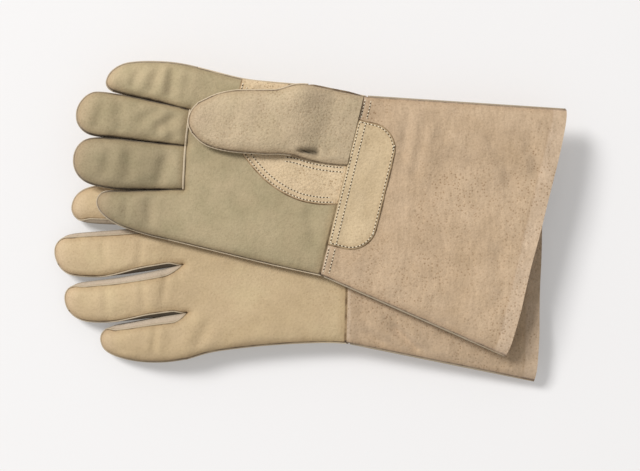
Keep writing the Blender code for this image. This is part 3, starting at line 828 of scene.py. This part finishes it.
for glove in ("left", "right"):
    low, high = spline(STRAP_LOW, 150), spline(STRAP_HIGH, 150)
    across = 0.5 * (1 - np.cos(np.pi * np.arange(45) / 44))[:, None]
    uv = patch(low[0] + across * (high[0] - low[0]), low[-1] + across * (high[-1] - low[-1]), low, high)
    d = edge_distance(uv, np.concatenate([low, high]))
    uv = to_side_seam(glove, uv)
    z = hand_height(glove, uv, True)[0] + 0.3 + 0.7 * smooth(d / 1.2)
    strap = surface(f"{glove}_thumb_strap_leather", world(glove, uv, z), up(glove, True), d)
    thicken(strap, PATCH_MM)
    wear(strap, STRAP_LEATHER, f"{glove}_thumb_strap")
    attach(strap, f"{glove}_hand")

    u, low_v, high_v = rounded(22)
    across = low_v[:, None] + (high_v - low_v)[:, None] * np.linspace(0, 1, 49)
    uv = np.stack([np.repeat(u[:, None], 49, axis=1), across], axis=-1)
    rim = np.concatenate([uv[:, 0], uv[-1], uv[::-1, -1]])
    d = edge_distance(uv, rim)
    z = cuff_hang(glove, uv[..., 0]) + cuff_height(glove, uv, True)[0] + 1.05 * smooth(0.25 + d / 1.2)
    piece = surface(f"{glove}_cuff_patch_leather", world(glove, uv, z), up(glove, True), d)
    thicken(piece, PATCH_MM)
    wear(piece, PATCH_LEATHER, f"{glove}_cuff_patch")
    cuff_bodies(glove, piece)

# WELTS. Narrow cords of cream leather, let into the outer seams so that they do not wear through, and a thicker
# one across the bases of the middle and ring fronts, where those two pieces are joined to the palm.
WELT_LEATHER = leather("cream welt leather", (0.64, 0.53, 0.375), (0.60, 0.49, 0.345), (0.54, 0.44, 0.30),
                       (0.64, 0.53, 0.40), nap=0.3, pores=0.1, specks=0.0, seam_soil_and_shade=0.0, rough=0.85)
WELT, CUFF_WELT, BASE_WELT = 0.00058, 0.0007, 0.0009  # radius of the cord in metres


def tube(name, points, radius, sides=8, shade=1.0):
    """A round cord through points in metres, closed at both ends."""
    run = np.gradient(points, axis=0)
    run /= np.linalg.norm(run, axis=1, keepdims=True)
    side = np.cross(run, np.array([0.0, 0.0, 1.0]))
    side /= np.linalg.norm(side, axis=1, keepdims=True)
    other = np.cross(side, run)
    turn = np.linspace(0, 2 * np.pi, sides, endpoint=False)
    ring = points[:, None] + radius * (np.cos(turn)[None, :, None] * side[:, None]
                                       + np.sin(turn)[None, :, None] * other[:, None])
    return turn_outward(surface(name, ring, (0, 0, 0), shade=shade, closed=True), 0)


def welt(name, points, radius=WELT, shade=1.0):
    return wear(tube(name, points, radius, shade=shade), WELT_LEATHER)


def beside(line, mm):
    """The line moved sideways in the pattern."""
    run = np.gradient(line, axis=0)
    run /= np.linalg.norm(run, axis=1, keepdims=True)
    return line + np.stack([-run[:, 1], run[:, 0]], axis=1) * mm


for glove in ("left", "right"):
    for side, out in (("little side", -0.25), ("thumb side", 0.25)):
        line = beside(spline(PATTERN[glove][side], 70), out)
        name = side.split()[0]
        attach(welt(f"{glove}_{name}_side_welt", world(glove, line, np.zeros(len(line)))), f"{glove}_hand")
        u = np.linspace(-1, 2.2 - CUFF_LENGTH, 60)
        line = np.stack([u, math.copysign(1, out) * (cuff_side(u) + 0.4)], axis=1)
        path = world(glove, line, cuff_hang(glove, u))
        cuff_bodies(glove, welt(f"{glove}_cuff_{name}_side_welt", path, CUFF_WELT, 0.66))
    for finger in FINGERS:
        line, height = ROUND[(glove, finger)]
        line = beside(line, -0.25)
        finger_bodies(glove, finger, welt(f"{glove}_{finger}_welt", world(glove, line, height + 0.3), shade=0.78))
    row = np.concatenate([knuckle_row(glove, 1), knuckle_row(glove, 2)[1:]])[1:-1]
    height = hand_height(glove, row, True)[0] + 0.35
    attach(welt(f"{glove}_finger_base_welt", world(glove, row, height), BASE_WELT, 0.88), f"{glove}_hand")
    line = beside(THUMB_EDGE, -0.3)
    line = line[THUMB_EDGE[:, 0] > 44]
    seam = thumb_levels(glove, line)[0]
    thumb_bodies(glove, welt(f"{glove}_thumb_welt", world(glove, line, seam - 0.35)))

# STITCHING. The strap and the patch are sewn down with cream cotton thread, in rows of short lock stitches. Each
# stitch is pulled down a little into the leather, with a dark dot of painted shade for the needle hole at either end.
def spun(name, dark, light, rough):
    """Thread, or the painted shade of a needle hole: fine uneven strands between two tones."""
    made, tree, shader = finish(name, rough)
    place = tree.nodes.new("ShaderNodeTexCoord").outputs["Object"]
    strands = tree.nodes.new("ShaderNodeTexNoise")
    strands.inputs["Scale"].default_value = 1400
    strands.inputs["Detail"].default_value = 2.0
    tree.links.new(place, strands.inputs["Vector"])
    tones = tree.nodes.new("ShaderNodeValToRGB")
    for element, at, colour in zip(tones.color_ramp.elements, (0.35, 0.62), (dark, light)):
        element.position = at
        element.color = (*colour, 1)
    tree.links.new(strands.outputs["Fac"], tones.inputs["Fac"])
    tree.links.new(tones.outputs["Color"], shader.inputs["Base Color"])
    twist = tree.nodes.new("ShaderNodeBump")
    twist.inputs["Strength"].default_value = 0.5
    twist.inputs["Distance"].default_value = 0.0002
    tree.links.new(strands.outputs["Fac"], twist.inputs["Height"])
    tree.links.new(twist.outputs["Normal"], shader.inputs["Normal"])
    return made


THREAD = spun("cream thread", (0.66, 0.57, 0.41), (0.88, 0.80, 0.63), 0.6)
NEEDLE_HOLE_SHADE = spun("painted needle hole shade", (0.045, 0.028, 0.015), (0.12, 0.08, 0.045), 0.9)
STITCH, PITCH = 1.5, 2.5  # length of thread that shows, and from one stitch to the next


def stitching(name, glove, lines, height):
    """Rows of stitches along lines of the pattern, with a needle hole at each gap."""
    bpy.ops.object.select_all(action="DESELECT")
    bpy.ops.mesh.primitive_uv_sphere_add(segments=6, ring_count=4, radius=1.0)
    seed = bpy.context.object
    ball = np.array([v.co for v in seed.data.vertices])
    faces = [list(f.vertices) for f in seed.data.polygons]
    bpy.data.objects.remove(seed, do_unlink=True)
    points, polygons, slots = [], [], []
    for line in lines:
        length = np.linalg.norm(np.diff(line, axis=0), axis=1).sum()
        count = max(2, int(length / PITCH))
        even = spline(line, count * 2 + 1)
        place = world(glove, even, height(glove, even))
        for i in range(1, len(even) - 1):
            thread = i % 2 == 1
            run = place[i + 1] - place[i - 1]
            run /= np.linalg.norm(run)
            side = np.cross(run, (0, 0, 1.0))
            side /= np.linalg.norm(side)
            above = np.cross(side, run) * LAID[glove][2]
            size = (STITCH / 2, 0.44, 0.34) if thread else (0.60, 0.56, 0.24)
            shape = ball * np.array(size) / 1000
            lift = 0.10 if thread else 0.05
            base = len(points)
            centre = place[i] + above * lift / 1000
            points.extend(centre + shape[:, :1] * run + shape[:, 1:2] * side + shape[:, 2:] * above)
            polygons.extend([[base + n for n in f] for f in faces])
            slots.extend([0 if thread else 1] * len(faces))
    mesh = bpy.data.meshes.new(name)
    mesh.from_pydata([tuple(p) for p in points], [], polygons)
    mesh.polygons.foreach_set("use_smooth", [True] * len(polygons))
    mesh.materials.append(THREAD)
    mesh.materials.append(NEEDLE_HOLE_SHADE)
    mesh.polygons.foreach_set("material_index", slots)
    obj = bpy.data.objects.new(name, mesh)
    bpy.context.scene.collection.objects.link(obj)
    return turn_outward(obj)


def across_cuff(u, low, high):
    """A straight row across the cuff at u."""
    return np.stack([np.full(40, u), np.linspace(low, high, 40)], axis=1)


def palm_top(glove, uv):
    return hand_height(glove, uv, True)[0] + 1.0


def cuff_top(glove, uv):
    return cuff_hang(glove, uv[..., 0]) + cuff_height(glove, uv, True)[0]


SEAM_ROWS = 0.3, -4.2  # where the cuff seam's two rows lie
for glove in ("left", "right"):
    low = spline(STRAP_LOW, 60)
    root = spline(THUMB_PATTERN["low"], 120)
    root = root[(root[:, 0] > 3) & (root[:, 0] < 50)]
    rows = [beside(low, 2.0)[1:-1], beside(low, 5.6)[2:-2], beside(root, -1.9), beside(root, -5.2)]
    rows = [to_side_seam(glove, row) for row in rows]
    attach(stitching(f"{glove}_thumb_strap_stitches", glove, rows, palm_top), f"{glove}_hand")

    u, low_v, high_v = rounded(16)
    rim = np.concatenate([np.stack([u, low_v], axis=1), np.stack([u, high_v], axis=1)[-2::-1]])
    rows = [beside(rim, -1.9)[1:-1]]
    rows += [across_cuff(at, PATCH_LOW + 1.5, PATCH_HIGH - 1.5) for at in SEAM_ROWS]
    on_patch = lambda glove, uv: cuff_top(glove, uv) + 1.05
    cuff_bodies(glove, stitching(f"{glove}_cuff_patch_stitches", glove, rows, on_patch))
    ends = (-67, PATCH_LOW - 1), (PATCH_HIGH + 1, 67)
    rows = [across_cuff(at, *end) for at in SEAM_ROWS for end in ends]
    cuff_bodies(glove, stitching(f"{glove}_cuff_front_stitches", glove, rows, cuff_top))

# THREAD TAILS. Where a machine row was back-tacked and cut off at the sides of the cuff seam, a few millimetres
# of thread were left, dark with handling.
TAIL = spun("dark thread tail", (0.07, 0.045, 0.025), (0.16, 0.11, 0.07), 0.7)
TAIL_RADIUS = 0.00032
for glove in ("left", "right"):
    for number, v in enumerate((66.5, -67.0)):
        side = math.copysign(1, v)
        t = np.linspace(0, 1, 12)[:, None]
        line = np.array([2.2, v]) + t * np.array([-1.2, 2.6 * side]) + np.sin(np.pi * t) * np.array([1.0, 0.4])
        front = glove == "right"
        height = np.abs(hand_height(glove, line, front)[0]) + 0.9
        path = world(glove, line, height if front else -height)
        tail = tube(f"{glove}_thread_tail_{number + 1}", path, TAIL_RADIUS, sides=6)
        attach(wear(tail, TAIL), f"{glove}_hand")

# FLOOR, LIGHT AND CAMERA. The pair lies on plain pale paper under one large soft light from beyond the
# fingertips, on the thumb side, with an even white room round it. The camera looks straight down.
bpy.ops.object.select_all(action="DESELECT")
bpy.ops.mesh.primitive_plane_add(size=40, location=(0, 0, -0.0004))
floor = bpy.context.object
floor.name = "floor"
paper, _, shader = finish("pale paper", 0.9)
shader.inputs["Base Color"].default_value = (0.635, 0.624, 0.622, 1)
shader.inputs["Emission Color"].default_value = (1.0, 0.99, 0.985, 1)
shader.inputs["Emission Strength"].default_value = 0.22
floor.data.materials.append(paper)
sky = bpy.data.worlds.new("studio")
sky.use_nodes = True
sky.node_tree.nodes["Background"].inputs["Color"].default_value = (1.0, 0.995, 0.985, 1)
sky.node_tree.nodes["Background"].inputs["Strength"].default_value = 0.46
bpy.context.scene.world = sky
bpy.context.scene.view_settings.view_transform = "Standard"
light = bpy.data.lights.new("softbox", "AREA")
light.shape = "SQUARE"
light.size, light.energy = 2.6, 610
lamp = bpy.data.objects.new("softbox", light)
lamp.location = (-4.4, 3.6, 6.0)
lamp.rotation_euler = (-lamp.location).to_track_quat("-Z", "Y").to_euler()
bpy.context.scene.collection.objects.link(lamp)
view = bpy.data.cameras.new("camera")
view.sensor_width = 36
view.lens = 91.1
camera = bpy.data.objects.new("camera", view)
camera.location = (0.008, -0.0104, 1.25)
bpy.context.scene.collection.objects.link(camera)
bpy.context.scene.camera = camera
